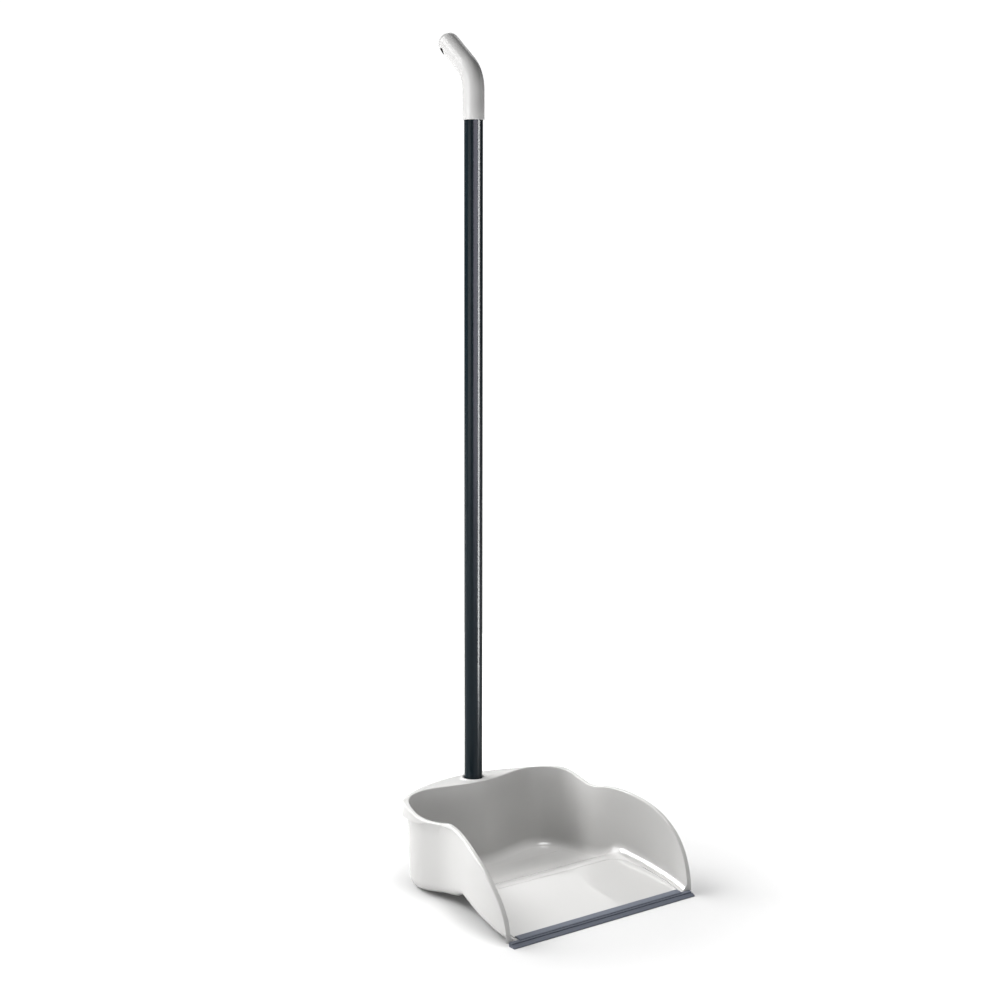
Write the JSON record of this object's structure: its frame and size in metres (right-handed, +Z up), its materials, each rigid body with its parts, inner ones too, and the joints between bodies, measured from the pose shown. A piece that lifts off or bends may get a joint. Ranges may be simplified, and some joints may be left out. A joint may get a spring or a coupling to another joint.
{
  "type": "long handled dust pan",
  "caption": "Upright dust pan with a high-sided moulded scoop, rubber front lip, straight tube handle and bent grip with a hanging hole.",
  "frame": {"origin": "bottom centre of the bounding box, on the floor", "axes": "+Z up along the handle tube, -Y towards the rubber lip, X across the pan"},
  "size_m": [0.2772, 0.3176, 0.9966],
  "materials": {
    "pan_gloss_plastic": "gloss",
    "slate_rubber": "matte",
    "slate_coated_steel": "satin powder coat",
    "grip_gloss_plastic": "semi-gloss",
    "dark_plug_plastic": "matte"
  },
  "bodies": {
    "pan": {"pan_body": "pan_gloss_plastic", "rubber_lip": "slate_rubber"},
    "handle": {"handle_tube": "slate_coated_steel", "handle_grip": "grip_gloss_plastic", "tube_end_plug": "dark_plug_plastic"}
  },
  "joints": [
    {"name": "handle_pull", "type": "slide", "parent": "pan", "child": "handle", "axis": [0, 0, 1], "range_m": [0, 0.095]}
  ]
}
